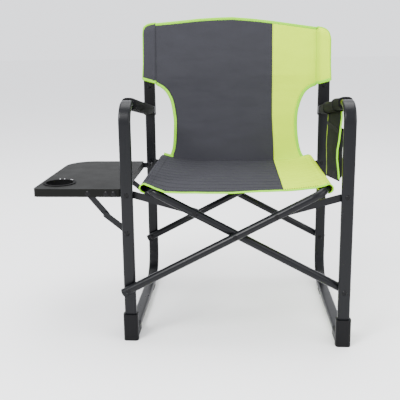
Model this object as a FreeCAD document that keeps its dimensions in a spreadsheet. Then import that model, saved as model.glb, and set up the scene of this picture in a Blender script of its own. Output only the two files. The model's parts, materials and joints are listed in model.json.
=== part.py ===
import FreeCAD, Part
import math
import os
import re
import Sketcher

# A folding director chair with a side table, in millimetres, +Z up, facing -Y.
# Two side frames stand left and right. Two U-shaped tubes cross between them
# and carry the seat. The row frame's origin is the floor point under the
# middle of the whole chair's box; origin_x and origin_y are where the middle
# of the front legs stands in that frame.

Vector = FreeCAD.Vector
X_AXIS = Vector(1, 0, 0)
Y_AXIS = Vector(0, 1, 0)
Z_AXIS = Vector(0, 0, 1)

SIZES = {
    "origin_x": 117.7,
    "origin_y": -254.6,
    "leg_spacing": 570,
    "frame_depth": 490,
    "leg_wide": 32,
    "leg_deep": 16,
    "leg_wall": 1.5,
    "leg_corner": 6,
    "side_step": 9,
    "cross_step": 12,
    "leg_foot": 20.5,
    "runner_height": 12,
    "runner_bend": 80,
    "post_height": 650,
    "pivot_height": 150,
    "strut_height": 303,
    "link_height": 406,
    "cross_height": 300,
    "arm_corner_height": 649.6,
    "arm_slope": 8,
    "arm_bend": 50,
    "arm_gap": 1,
    "pad_start": 66,
    "pad_length": 388,
    "pad_wide": 40,
    "pad_tall": 33,
    "pad_corner": 14,
    "joint_foot": 566,
    "joint_height": 120,
    "joint_wide": 38,
    "joint_deep": 25,
    "joint_socket": 34,
    "joint_rivet_height": 661,
    "back_tube_foot": 652,
    "back_tube_corner": 692,
    "back_tube_height": 805,
    "back_lean": 7,
    "back_bend": 90,
    "cap_thickness": 3,
    "boot_wide": 40,
    "boot_deep": 26,
    "boot_tall": 75,
    "boot_heel": 58,
    "boot_heel_tall": 28,
    "glide_wide": 30,
    "glide_long": 60,
    "glide_thickness": 4,
    "rail_reach": 237,
    "cross_radius": 11,
    "cross_wall": 1.2,
    "cross_bend": 45,
    "cross_tail": 15,
    "link_reach": 120,
    "link_wide": 19,
    "link_thickness": 3,
    "rivet_radius": 4,
    "rivet_head": 7,
    "rivet_dome": 2.2,
    "rivet_play": 0.08,
    "washer_radius": 9,
    "washer_thickness": 1.6,
    "table_inner": 302,
    "table_outer": 541,
    "table_front": 22,
    "table_back": 440,
    "table_height": 419,
    "table_skirt": 22,
    "table_skin": 2.5,
    "table_front_corner": 14,
    "table_back_corner": 80,
    "table_inner_corner": 8,
    "cup_offset": 488,
    "cup_depth": 98,
    "cup_radius": 40,
    "ring_radius": 45,
    "ring_wall": 2.2,
    "ring_depth": 18,
    "strut_wide": 16,
    "strut_thickness": 2.5,
    "strut_top_offset": 392,
    "strut_top_height": 407,
    "strut_middle_offset": 344,
    "strut_middle_height": 349,
    "strut_foot_offset": 287,
    "bracket_wide": 17,
    "sling_thickness": 3,
    "sling_sag": 18,
    "sleeve_radius": 14,
    "sleeve_gap": 0.4,
    "seat_depth": 448,
    "back_foot": 690,
    "back_tall": 190,
    "waist_wide": 384,
    "pouch_start": 150,
    "pouch_long": 225,
    "pouch_foot": 415,
    "pouch_thickness": 22,
    "pouch_mouth": 552,
}

doc = FreeCAD.newDocument("director_chair")
sheet = doc.addObject("Spreadsheet::Sheet", "Sizes")
for row, (alias, number) in enumerate(SIZES.items(), start=1):
    sheet.set(f"A{row}", alias)
    sheet.set(f"B{row}", str(number))
    sheet.setAlias(f"B{row}", alias)
doc.recompute()

# The sub-parts, each with the name of its file.
parts = {}


# ---------------------------------------------------------------- helpers

def formula(text):
    """A formula in sheet names, written as FreeCAD's expression engine wants it."""
    return re.sub(r"[a-z_]+", lambda word: "Sizes." + word.group() if word.group() in SIZES else word.group(), text)


def measure(text):
    """The value of a formula in sheet names."""
    value = sheet.evalExpression(text)
    return float(getattr(value, "Value", value))


def bind(item, name, text):
    """Ties one property of an object to a formula."""
    item.setExpression(name, formula(text))


def keep(item, label):
    """Makes an object a sub-part under this name."""
    item.Label = label
    parts[label] = item
    return item


def stand(item, x, y, z, axis=Z_AXIS, angle=0.0):
    """Turns an object and puts it at a place given as formulas, in the row frame."""
    item.Placement = FreeCAD.Placement(Vector(0, 0, 0), FreeCAD.Rotation(axis, angle))
    bind(item, "Placement.Base.x", f"origin_x + ({x})")
    bind(item, "Placement.Base.y", f"origin_y + ({y})")
    bind(item, "Placement.Base.z", z)
    return item


def new_body(label):
    return keep(doc.addObject("PartDesign::Body", label), label)


def sketch_on(body, role, name, rise=None):
    """A sketch on one of the body's own origin planes, raised along its normal by a formula."""
    sketch = body.newObject("Sketcher::SketchObject", name)
    plane = [item for item in body.Origin.OriginFeatures if item.Role == role][0]
    sketch.AttachmentSupport = [(plane, "")]
    sketch.MapMode = "FlatFace"
    if rise is not None:
        bind(sketch, "AttachmentOffset.Base.z", rise)
    return sketch


def dimension(sketch, text, kind, *where):
    """Adds one driving constraint and ties it to a formula."""
    number = sketch.addConstraint(Sketcher.Constraint(kind, *where, measure(text)))
    sketch.setExpression(f"Constraints[{number}]", formula(text))


def fix_point(sketch, geometry, end, x, y):
    """Holds a point at formulas x and y from the sketch's origin; 0 puts it on the axis."""
    for kind, text, axis in (("DistanceX", x, -2), ("DistanceY", y, -1)):
        if text == "0":
            sketch.addConstraint(Sketcher.Constraint("PointOnObject", geometry, end, axis))
        else:
            dimension(sketch, text, kind, -1, 1, geometry, end)


def join(sketch, one, other):
    """Makes the ends that meet of two neighbouring curves coincide."""
    for end in (1, 2):
        for start in (1, 2):
            if sketch.getPoint(one, end).distanceToPoint(sketch.getPoint(other, start)) < 1e-4:
                sketch.addConstraint(Sketcher.Constraint("Coincident", one, end, other, start))
                return


def circle(sketch, x, y, radius):
    """A circle at formulas x and y, with its centre and radius held."""
    centre = Vector(measure(x), measure(y), 0)
    number = sketch.addGeometry(Part.Circle(centre, Z_AXIS, measure(radius)))
    dimension(sketch, radius, "Radius", number)
    fix_point(sketch, number, 3, x, y)


def rounded_path(sketch, corners, radii):
    """An open path through the corners, each inner one rounded by a tangent arc."""
    points = [Vector(measure(x), measure(y), 0) for x, y in corners]
    begin = points[0]
    first = sketch.GeometryCount
    for before, corner, after, radius in zip(points, points[1:], points[2:], radii):
        size = measure(radius)
        back = (before - corner).normalize()
        ahead = (after - corner).normalize()
        half = back.getAngle(ahead) / 2
        tangent = size / math.tan(half)
        centre = corner + (back + ahead).normalize() * (size / math.sin(half))
        crown = centre + (corner - centre).normalize() * size
        start = corner + back * tangent
        finish = corner + ahead * tangent
        sketch.addGeometry(Part.LineSegment(begin, start))
        arc = sketch.addGeometry(Part.Arc(start, crown, finish))
        dimension(sketch, radius, "Radius", arc)
        begin = finish
    last = sketch.addGeometry(Part.LineSegment(begin, points[-1]))
    for number in range(first, last):
        join(sketch, number, number + 1)
    fix_point(sketch, first, 1, *corners[0])
    fix_point(sketch, last, 2, *corners[-1])


def rounded_box(sketch, wide, tall, corner, x="0", y="0"):
    """A rectangle with round corners, centred at formulas x and y."""
    half_wide = measure(wide) / 2
    half_tall = measure(tall) / 2
    radius = measure(corner)
    middle = Vector(measure(x), measure(y), 0)
    first = sketch.GeometryCount
    turns = [(1, -1), (1, 1), (-1, 1), (-1, -1)]
    arcs = []
    for sign_x, sign_y in turns:
        centre = middle + Vector(sign_x * (half_wide - radius), sign_y * (half_tall - radius), 0)
        start = math.atan2(sign_y, sign_x) - math.pi / 4
        round_edge = Part.Circle(centre, Z_AXIS, radius)
        arcs.append(Part.ArcOfCircle(round_edge, start, start + math.pi / 2))
    sketch.addGeometry(arcs)
    for step in range(4):
        begin = arcs[step].EndPoint
        end = arcs[(step + 1) % 4].StartPoint
        line = sketch.addGeometry(Part.LineSegment(begin, end))
        sketch.addConstraint(Sketcher.Constraint("Tangent", first + step, 2, line, 1))
        sketch.addConstraint(Sketcher.Constraint("Tangent", line, 2, first + (step + 1) % 4, 1))
        if step:
            sketch.addConstraint(Sketcher.Constraint("Equal", first, first + step))
    dimension(sketch, corner, "Radius", first)
    dimension(sketch, f"{wide} - 2 * ({corner})", "DistanceX", first + 3, 3, first, 3)
    dimension(sketch, f"{tall} - 2 * ({corner})", "DistanceY", first, 3, first + 1, 3)
    sketch.addConstraint(Sketcher.Constraint("Horizontal", first + 7))
    sketch.addConstraint(Sketcher.Constraint("Vertical", first + 4))
    fix_point(sketch, first + 1, 3, f"{x} + ({wide}) / 2 - ({corner})", f"{y} + ({tall}) / 2 - ({corner})")


def pad(body, sketch, length, midplane=False, backwards=False):
    item = body.newObject("PartDesign::Pad", f"{sketch.Name}_pad")
    item.Profile = sketch
    bind(item, "Length", length)
    item.Midplane = midplane
    item.Reversed = backwards
    return item


def pocket(body, sketch, length=None, backwards=False):
    """Cuts the sketch right through both ways, or to a length one way."""
    item = body.newObject("PartDesign::Pocket", f"{sketch.Name}_pocket")
    item.Profile = sketch
    if length is None:
        item.Type = 1
        item.Midplane = True
    else:
        bind(item, "Length", length)
        item.Reversed = backwards
    return item


def pipe(body, path, profile):
    item = body.newObject("PartDesign::AdditivePipe", f"{profile.Name}_pipe")
    item.Profile = profile
    item.Spine = (path, [""])
    return item


def leg_section(sketch, x="0", y="0"):
    """The flat-sided steel tube of the side frames."""
    rounded_box(sketch, "leg_wide", "leg_deep", "leg_corner", x, y)
    rounded_box(sketch, "leg_wide - 2 * leg_wall", "leg_deep - 2 * leg_wall", "leg_corner - leg_wall", x, y)


def leg_bore(sketch, x="0", y="0"):
    """The outline of a socket that the leg tube slides into."""
    rounded_box(sketch, "leg_wide + 0.4", "leg_deep + 0.4", "leg_corner + 0.2", x, y)


def primitive(kind, name, **sizes):
    """A Part primitive with its sizes tied to formulas."""
    item = doc.addObject(kind, name)
    for size, text in sizes.items():
        bind(item, size, text)
    return item


def fuse(label, items):
    joined = doc.addObject("Part::MultiFuse", label)
    joined.Shapes = items
    return keep(joined, label)


def along_y(item, x, y, z):
    """Puts a cylinder or cone with its axis along +Y."""
    return stand(item, x, y, z, X_AXIS, -90.0)


def rivet(name, x, z, head, tail, heads=(True, True), dome="rivet_dome"):
    """A rivet along Y, from the face under its head to the face under its tail."""
    shaft = primitive("Part::Cylinder", f"{name}_shaft", Radius="rivet_radius", Height=f"({tail}) - ({head}) + 0.8")
    pieces = [along_y(shaft, x, f"({head}) - 0.4", z)]
    if heads[0]:
        front = primitive("Part::Cone", f"{name}_head", Radius1="rivet_head - 2.5", Radius2="rivet_head", Height=dome)
        pieces.append(along_y(front, x, f"({head}) - 0.2 - ({dome})", z))
    if heads[1]:
        rear = primitive("Part::Cone", f"{name}_tail", Radius1="rivet_head - 1", Radius2="rivet_head - 3", Height=dome)
        pieces.append(along_y(rear, x, f"({tail}) + 0.2", z))
    return pieces


def tube_ring(name, x, y, z, outer, inner, length):
    """A washer or spacer along Y, starting at y."""
    full = along_y(primitive("Part::Cylinder", f"{name}_full", Radius=outer, Height=length), x, y, z)
    hole = along_y(primitive("Part::Cylinder", f"{name}_hole", Radius=inner, Height=length), x, y, z)
    ring = doc.addObject("Part::Cut", name)
    ring.Base = full
    ring.Tool = hole
    return ring


# ---------------------------------------------------------------- side frames

HALF = "leg_spacing / 2"
SIDES = {
    "left": {"x": f"-{HALF}", "y": "side_step", "sign": -1},
    "right": {"x": HALF, "y": "-side_step", "sign": 1},
}
HOLE = "rivet_radius + rivet_play"


def front_leg(side, place, heights):
    """The front leg, which bends over at the top and runs back as the arm."""
    body = new_body(f"{side}_front_leg")
    path = sketch_on(body, "YZ_Plane", f"{side}_leg_path")
    reach = "frame_depth - leg_deep / 2 - arm_gap"
    corners = [("0", "leg_foot"), ("0", "arm_corner_height"),
               (reach, f"arm_corner_height - ({reach}) * tan(arm_slope)")]
    rounded_path(path, corners, ["arm_bend"])
    profile = sketch_on(body, "XY_Plane", f"{side}_leg_section", "leg_foot")
    leg_section(profile)
    pipe(body, path, profile)
    holes = sketch_on(body, "XZ_Plane", f"{side}_leg_holes")
    for x, height in heights:
        circle(holes, x, height, HOLE)
    pocket(body, holes)
    return stand(body, place["x"], place["y"], "0")


def rear_post(side, place, heights):
    """The rear leg, which bends forward at the floor and runs to the front foot."""
    body = new_body(f"{side}_rear_post")
    path = sketch_on(body, "YZ_Plane", f"{side}_post_path")
    corners = [("-leg_deep / 2", "runner_height"), ("frame_depth", "runner_height"),
               ("frame_depth", "post_height")]
    rounded_path(path, corners, ["runner_bend"])
    profile = sketch_on(body, "XZ_Plane", f"{side}_post_section", "leg_deep / 2")
    leg_section(profile, "0", "runner_height")
    pipe(body, path, profile)
    holes = sketch_on(body, "XZ_Plane", f"{side}_post_holes")
    for x, height in heights + [("0", "joint_foot + 14")]:
        circle(holes, x, height, HOLE)
    pocket(body, holes)
    return stand(body, place["x"], place["y"], "0")


def back_tube(side, place):
    """The upper back tube, bent back a little where it leaves its joint."""
    body = new_body(f"{side}_back_tube")
    path = sketch_on(body, "YZ_Plane", f"{side}_back_path")
    corners = [("frame_depth", "back_tube_foot"), ("frame_depth", "back_tube_corner"),
               ("frame_depth + (back_tube_height - back_tube_corner) * tan(back_lean)", "back_tube_height")]
    rounded_path(path, corners, ["back_bend"])
    profile = sketch_on(body, "XY_Plane", f"{side}_back_section", "back_tube_foot")
    leg_section(profile, "0", "frame_depth")
    pipe(body, path, profile)
    holes = sketch_on(body, "XZ_Plane", f"{side}_back_hole")
    circle(holes, "0", "joint_rivet_height", HOLE)
    pocket(body, holes)
    return stand(body, place["x"], place["y"], "0")


def back_cap(side, place):
    """The plug that closes the top of the back tube, with its lip over the wall."""
    body = new_body(f"{side}_back_cap")
    lip = sketch_on(body, "XY_Plane", f"{side}_cap_lip", "0.1")
    rounded_box(lip, "leg_wide", "leg_deep", "leg_corner")
    pad(body, lip, "cap_thickness")
    stem = sketch_on(body, "XY_Plane", f"{side}_cap_stem", "0.1")
    rounded_box(stem, "leg_wide - 2 * leg_wall - 0.4", "leg_deep - 2 * leg_wall - 0.4", "leg_corner - leg_wall - 0.2")
    pad(body, stem, "12", backwards=True)
    lean = "frame_depth + (back_tube_height - back_tube_corner) * tan(back_lean)"
    return stand(body, place["x"], f"{place['y']} + {lean}", "back_tube_height", X_AXIS, -measure("back_lean"))


def arm_pad(side, place):
    """The foam sleeve on the arm."""
    body = new_body(f"{side}_arm_pad")
    profile = sketch_on(body, "XZ_Plane", f"{side}_pad_section")
    rounded_box(profile, "pad_wide", "pad_tall", "pad_corner")
    leg_bore(profile)
    pad(body, profile, "pad_length", backwards=True)
    start = "arm_corner_height - pad_start * tan(arm_slope)"
    return stand(body, place["x"], f"{place['y']} + pad_start", start, X_AXIS, -measure("arm_slope"))


def arm_joint(side, place):
    """The moulded joint that holds the arm's end, the rear post and the back tube."""
    body = new_body(f"{side}_arm_joint")
    foot = sketch_on(body, "XY_Plane", f"{side}_joint_foot")
    rounded_box(foot, "joint_wide", "joint_deep", "leg_corner + 1")
    top = sketch_on(body, "XY_Plane", f"{side}_joint_top", "joint_height")
    rounded_box(top, "joint_wide - 2", "joint_deep - 2", "leg_corner + 1")
    shell = body.newObject("PartDesign::AdditiveLoft", f"{side}_joint_shell")
    shell.Profile = foot
    shell.Sections = [top]
    socket = sketch_on(body, "XZ_Plane", f"{side}_joint_socket", "0")
    rounded_box(socket, "joint_wide", "28", "8", "0", "18")
    pad(body, socket, "joint_socket")
    bore = sketch_on(body, "XY_Plane", f"{side}_joint_bore")
    leg_bore(bore)
    pocket(body, bore)
    arm = sketch_on(body, "XZ_Plane", f"{side}_joint_arm", "leg_deep / 2 + 0.3")
    rounded_box(arm, "leg_wide + 0.4", "leg_deep + 5.4", "leg_corner + 0.2", "0", "18.4")
    pocket(body, arm, "joint_socket", backwards=True)
    holes = sketch_on(body, "XZ_Plane", f"{side}_joint_holes")
    circle(holes, "0", "joint_rivet_height - joint_foot", HOLE)
    circle(holes, "0", "14", HOLE)
    pocket(body, holes)
    return stand(body, place["x"], f"{place['y']} + frame_depth", "joint_foot")


def foot_boot(side, place):
    """The plastic foot that takes the leg from above and the runner from behind."""
    body = new_body(f"{side}_foot_boot")
    toe = sketch_on(body, "XY_Plane", f"{side}_boot_toe")
    rounded_box(toe, "boot_wide", "boot_deep", "8")
    pad(body, toe, "boot_tall")
    heel = sketch_on(body, "XZ_Plane", f"{side}_boot_heel")
    rounded_box(heel, "boot_wide - 2", "boot_heel_tall", "5", "0", "boot_heel_tall / 2 + 0.5")
    pad(body, heel, "boot_heel", backwards=True)
    upper = sketch_on(body, "XY_Plane", f"{side}_boot_bore", "runner_height + 2")
    rounded_box(upper, "leg_wide + 0.8", "leg_deep + 0.8", "leg_corner + 0.4")
    pocket(body, upper, "boot_tall", backwards=True)
    lower = sketch_on(body, "XZ_Plane", f"{side}_boot_runner", "leg_deep / 2 + 0.2")
    leg_bore(lower, "0", "runner_height")
    pocket(body, lower, "boot_heel + boot_deep")
    return stand(body, place["x"], place["y"], "0")


def rear_glide(side, place):
    """The plastic glide under the runner, which levels it with the front foot."""
    body = new_body(f"{side}_rear_glide")
    outline = sketch_on(body, "XY_Plane", f"{side}_glide_outline")
    rounded_box(outline, "glide_wide", "glide_long", "8")
    pad(body, outline, "glide_thickness - 0.1")
    return stand(body, place["x"], f"{place['y']} + frame_depth - runner_bend - 35", "0")


for side, place in SIDES.items():
    heights = [("0", "pivot_height"), ("0", "link_height")]
    if side == "left":
        heights.append(("leg_spacing / 2 - strut_foot_offset", "strut_height"))
    front_leg(side, place, heights)
    rear_post(side, place, heights)
    back_tube(side, place)
    back_cap(side, place)
    arm_pad(side, place)
    arm_joint(side, place)
    foot_boot(side, place)
    rear_glide(side, place)
    behind = f"{place['y']} + frame_depth"
    face = "joint_deep / 2"
    upper = rivet(f"{side}_joint_upper", place["x"], "joint_rivet_height", f"{behind} - {face} + 0.6", f"{behind} + {face} - 0.6")
    lower = rivet(f"{side}_joint_lower", place["x"], "joint_foot + 14", f"{behind} + leg_deep / 2 + 0.5", f"{behind} + {face}",
                  heads=(False, True))
    fuse(f"{side}_joint_rivets", upper + lower)


# ---------------------------------------------------------------- crossing tubes

ANGLE = "atan((cross_height - pivot_height) * 2 / leg_spacing)"
CROSS_LENGTH = f"(leg_spacing / 2) / cos({ANGLE})"
RAIL_LENGTH = f"rail_reach / cos({ANGLE})"
CROSSES = {
    "a": {"x": f"-{HALF}", "y": "-cross_step", "turn": 1},
    "b": {"x": HALF, "y": "cross_step", "turn": -1},
}


def cross_tube(name, place):
    """One U-shaped tube: front member, seat rail and rear member, from the two lower pivots."""
    body = new_body(f"cross_tube_{name}")
    path = sketch_on(body, "XY_Plane", f"cross_path_{name}")
    turn = place["turn"]
    far = f"{turn} * ({CROSS_LENGTH} + {RAIL_LENGTH})"
    near = f"{-turn} * cross_tail"
    corners = [(near, "0"), (far, "0"), (far, "frame_depth"), (near, "frame_depth")]
    rounded_path(path, corners, ["cross_bend", "cross_bend"])
    profile = sketch_on(body, "YZ_Plane", f"cross_section_{name}", near)
    circle(profile, "0", "0", "cross_radius")
    circle(profile, "0", "0", "cross_radius - cross_wall")
    pipe(body, path, profile)
    holes = sketch_on(body, "XZ_Plane", f"cross_holes_{name}")
    for distance in ("0", CROSS_LENGTH, f"{CROSS_LENGTH} + link_reach"):
        circle(holes, "0" if distance == "0" else f"{turn} * ({distance})", "0", HOLE)
    pocket(body, holes)
    return stand(body, place["x"], place["y"], "pivot_height", Y_AXIS, -turn * measure(ANGLE))


def cross_caps(name, place):
    """The plugs in the two lower ends of one crossing tube."""
    plugs = []
    turn = place["turn"]
    for end, depth in (("front", "0"), ("rear", "frame_depth")):
        lip = primitive("Part::Cylinder", f"cap_{name}_{end}_lip", Radius="cross_radius", Height="2.4")
        stem = primitive("Part::Cylinder", f"cap_{name}_{end}_stem", Radius="cross_radius - cross_wall - 0.2", Height="9")
        for item, start in ((lip, "cross_tail + 0.1"), (stem, "cross_tail - 6.5")):
            away = f"{-turn} * ({start}) * cos({ANGLE})"
            drop = f"({start}) * sin({ANGLE})"
            stand(item, f"{place['x']} + {away}", f"{place['y']} + {depth}", f"pivot_height - {drop}",
                  Y_AXIS, -turn * (90.0 + measure(ANGLE)))
            plugs.append(item)
    return fuse(f"cross_caps_{name}", plugs)


for name, place in CROSSES.items():
    cross_tube(name, place)
    cross_caps(name, place)

# Pivot rivets stay with the side frames. On the left the crossing tube is in
# front of the leg, on the right it is behind it.
ROWS = {"front": "0", "rear": "frame_depth"}
for side, place in SIDES.items():
    rivets = []
    washers = []
    for row, depth in ROWS.items():
        if side == "left":
            head = f"{depth} - cross_step - cross_radius"
            tail = f"{depth} + side_step + leg_deep / 2"
        else:
            head = f"{depth} - side_step - leg_deep / 2"
            tail = f"{depth} + cross_step + cross_radius"
        rivets += rivet(f"{side}_{row}_pivot", place["x"], "pivot_height", head, tail)
        washers.append(tube_ring(f"{side}_{row}_washer", place["x"], f"{depth} - washer_thickness / 2",
                                 "pivot_height", "washer_radius", HOLE, "washer_thickness"))
    fuse(f"{side}_pivot_rivets", rivets)
    fuse(f"{side}_pivot_washers", washers)

crossing = []
washers = []
for row, depth in ROWS.items():
    reach = "cross_step + cross_radius"
    crossing += rivet(f"cross_{row}", "0", "cross_height", f"{depth} - ({reach})", f"{depth} + {reach}")
    washers.append(tube_ring(f"cross_{row}_washer", "0", f"{depth} - washer_thickness / 2",
                             "cross_height", "washer_radius", HOLE, "washer_thickness"))
fuse("cross_rivets", crossing)
fuse("cross_washers", washers)


# ---------------------------------------------------------------- folding links

# Each link runs from the side frame's link rivet down to the far crossing tube.
LINK_DROP = f"link_height - cross_height - link_reach * sin({ANGLE})"
LINK_RUN = f"{HALF} - link_reach * cos({ANGLE})"
LINK_LENGTH = f"sqrt(({LINK_DROP}) ^ 2 + ({LINK_RUN}) ^ 2)"
LINK_ANGLE = math.degrees(math.atan2(measure(LINK_DROP), measure(LINK_RUN)))
LINK_START = {"left": "28", "right": "-0.5"}
LINK_TUBE_BACK = {"left": "cross_step + cross_radius", "right": "cross_radius - cross_step"}


def flat_bar(label, length, wide, thickness, drilled=(True, True), backwards=False):
    """A flat bar with round ends, along +X from its first pivot, its faces square to Y."""
    body = new_body(label)
    outline = sketch_on(body, "XZ_Plane", f"{label}_outline")
    rounded_box(outline, f"{length} + {wide}", wide, f"{wide} / 2 - 0.01", f"({length}) / 2", "0")
    for start, open_hole in zip(("0", length), drilled):
        if open_hole:
            circle(outline, start, "0", HOLE)
    pad(body, outline, thickness, backwards=True)
    return body


for side, place in SIDES.items():
    sign = place["sign"]
    ends = []
    for row, depth in ROWS.items():
        label = f"{side}_link_{row}"
        start = f"{depth} + {LINK_START[side]}"
        flat_bar(label, LINK_LENGTH, "link_wide", "link_thickness")
        heading = LINK_ANGLE if side == "left" else 180.0 - LINK_ANGLE
        stand(parts[label], place["x"], start, "link_height", Y_AXIS, heading)
        middle = f"{sign} * link_reach * cos({ANGLE})"
        height = f"cross_height + link_reach * sin({ANGLE})"
        ends += rivet(f"{side}_{row}_link_end", middle, height, f"{start} + 0.5", f"{start} + link_thickness",
                      heads=(False, True))
        if side == "left":
            ends.append(tube_ring(f"{side}_{row}_bush", middle, f"{depth} + {LINK_TUBE_BACK[side]} + 0.6", height,
                                  "washer_radius", HOLE, f"{LINK_START[side]} - ({LINK_TUBE_BACK[side]}) - 0.9"))
    fuse(f"{side}_link_ends", ends)

# The heads that close the crossing tubes' link pivots from the front.
for name, sign in (("a", 1), ("b", -1)):
    heads = []
    for row, depth in ROWS.items():
        middle = f"{depth} - {sign} * cross_step"
        heads += rivet(f"link_pin_{name}_{row}", f"{sign} * link_reach * cos({ANGLE})",
                       f"cross_height + link_reach * sin({ANGLE})", f"{middle} - cross_radius",
                       f"{middle} + cross_radius - 1", heads=(True, False))
    fuse(f"cross_link_pins_{name}", heads)

# The link rivets of the side frames, with their spacers.
for side, place in SIDES.items():
    rivets = []
    for row, depth in ROWS.items():
        front_face = f"{depth} + {place['y']} - leg_deep / 2"
        end = f"{depth} + {LINK_START[side]} + link_thickness"
        if side == "left" and row == "rear":
            front_face = "table_back - table_skin - strut_thickness - 0.5"
        rivets += rivet(f"{side}_{row}_link", place["x"], "link_height", front_face, end)
    fuse(f"{side}_link_rivets", rivets)


# ---------------------------------------------------------------- side table

def table_top():
    """The moulded tray: a flat top with a skirt all round and the cup hole."""
    body = new_body("table_top")
    outline = sketch_on(body, "XY_Plane", "table_outline")
    tray_outline(outline, "0")
    pad(body, outline, "table_skirt")
    hollow = sketch_on(body, "XY_Plane", "table_hollow")
    tray_outline(hollow, "table_skin")
    pocket(body, hollow, "table_skirt - table_skin", backwards=True)
    cup = sketch_on(body, "XY_Plane", "table_cup")
    circle(cup, "(table_inner + table_outer) / 2 - cup_offset", "cup_depth - (table_front + table_back) / 2",
           "cup_radius + 0.3")
    pocket(body, cup)
    return stand(body, "-(table_inner + table_outer) / 2", "(table_front + table_back) / 2", "table_height - table_skirt")


def tray_outline(sketch, inset):
    """The tray's plan: a small round front corner outside and a large rear one."""
    half_wide = f"((table_outer - table_inner) / 2 - {inset})"
    half_deep = f"((table_back - table_front) / 2 - {inset})"
    corners = [
        (f"-{half_wide}", f"-{half_deep}", "table_front_corner - " + inset),
        (half_wide, f"-{half_deep}", "table_inner_corner - " + inset),
        (half_wide, half_deep, "table_inner_corner - " + inset),
        (f"-{half_wide}", half_deep, "table_back_corner - " + inset),
    ]
    arcs = []
    for number, (x, y, corner) in enumerate(corners):
        sign_x = math.copysign(1, measure(x))
        sign_y = math.copysign(1, measure(y))
        radius = measure(corner)
        centre = Vector(measure(x) - sign_x * radius, measure(y) - sign_y * radius, 0)
        start = math.atan2(sign_y, sign_x) - math.pi / 4
        arcs.append(Part.ArcOfCircle(Part.Circle(centre, Z_AXIS, radius), start, start + math.pi / 2))
    sketch.addGeometry(arcs)
    for number, (x, y, corner) in enumerate(corners):
        following = (number + 1) % 4
        line = sketch.addGeometry(Part.LineSegment(arcs[number].EndPoint, arcs[following].StartPoint))
        sketch.addConstraint(Sketcher.Constraint("Coincident", number, 2, line, 1))
        sketch.addConstraint(Sketcher.Constraint("Coincident", line, 2, following, 1))
        dimension(sketch, corner, "Radius", number)
        toward_x = "+" if x.startswith("-") else "-"
        toward_y = "+" if y.startswith("-") else "-"
        fix_point(sketch, number, 3, f"{x} {toward_x} ({corner})", f"{y} {toward_y} ({corner})")


def cup_ring():
    """The ring in the cup hole: a lip on the tray and a short sleeve below it."""
    body = new_body("cup_ring")
    lip = sketch_on(body, "XY_Plane", "ring_lip", "0.1")
    circle(lip, "0", "0", "ring_radius")
    circle(lip, "0", "0", "cup_radius - ring_wall")
    pad(body, lip, "1.8")
    sleeve = sketch_on(body, "XY_Plane", "ring_sleeve", "0.1")
    circle(sleeve, "0", "0", "cup_radius")
    circle(sleeve, "0", "0", "cup_radius - ring_wall")
    pad(body, sleeve, "ring_depth", backwards=True)
    return stand(body, "-cup_offset", "cup_depth", "table_height")


table_body = table_top()
cup_ring()

HINGE = {"x": f"-{HALF}", "z": "link_height"}
STRUT_TOP = {"x": "-strut_top_offset", "z": "strut_top_height"}
STRUT_FOOT = {"x": "-strut_foot_offset", "z": "strut_height"}
UPPER_RUN = "strut_top_offset - strut_middle_offset"
UPPER_DROP = "strut_top_height - strut_middle_height"
LOWER_RUN = "strut_middle_offset - strut_foot_offset"
LOWER_RISE = "strut_middle_height - strut_height"
UPPER_LENGTH = f"sqrt(({UPPER_RUN}) ^ 2 + ({UPPER_DROP}) ^ 2)"
LOWER_LENGTH = f"sqrt(({LOWER_RUN}) ^ 2 + ({LOWER_RISE}) ^ 2)"
UPPER_ANGLE = math.degrees(math.atan2(measure(UPPER_DROP), measure(UPPER_RUN)))
LOWER_ANGLE = math.degrees(math.atan2(measure(LOWER_RISE), measure(LOWER_RUN)))

# Inside the skirts, from front to back: wall, then bracket and upper strut.
# Outside them: the lower strut, between the skirt and the leg.
INSIDE = {
    "front": "table_front + table_skin + 0.5",
    "rear": "table_back - table_skin - 0.5 - strut_thickness",
}
OUTSIDE = {
    "front": "side_step + leg_deep / 2 + 0.6",
    "rear": "table_back + 2.2",
}

brackets = []
for row in ROWS:
    bracket = flat_bar(f"table_bracket_{row}", "58", "bracket_wide", "strut_thickness")
    stand(bracket, HINGE["x"], INSIDE[row], HINGE["z"], Y_AXIS, 180.0)
    upper = flat_bar(f"table_strut_upper_{row}", UPPER_LENGTH, "strut_wide", "strut_thickness")
    stand(upper, STRUT_TOP["x"], INSIDE[row], STRUT_TOP["z"], Y_AXIS, UPPER_ANGLE)
    lower = flat_bar(f"table_strut_lower_{row}", LOWER_LENGTH, "strut_wide", "strut_thickness", (True, False))
    stand(lower, STRUT_FOOT["x"], OUTSIDE[row], STRUT_FOOT["z"], Y_AXIS, 180.0 + LOWER_ANGLE)

# Rivets in the tray's skirts: the strut's top pivot and two through each bracket.
tray_rivets = []
for row in ROWS:
    inner = f"{INSIDE[row]} + strut_thickness" if row == "front" else INSIDE[row]
    outer = "table_front" if row == "front" else "table_back"
    spots = [("strut", "-strut_top_offset", "strut_top_height"),
             ("near", f"-{HALF} - 38", "link_height"), ("far", f"-{HALF} - 58", "link_height")]
    for spot, x, z in spots:
        head, tail = (outer, inner) if row == "front" else (inner, outer)
        tray_rivets += rivet(f"tray_{row}_{spot}", x, z, head, tail, dome="1.2")
fuse("table_rivets", tray_rivets)

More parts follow.
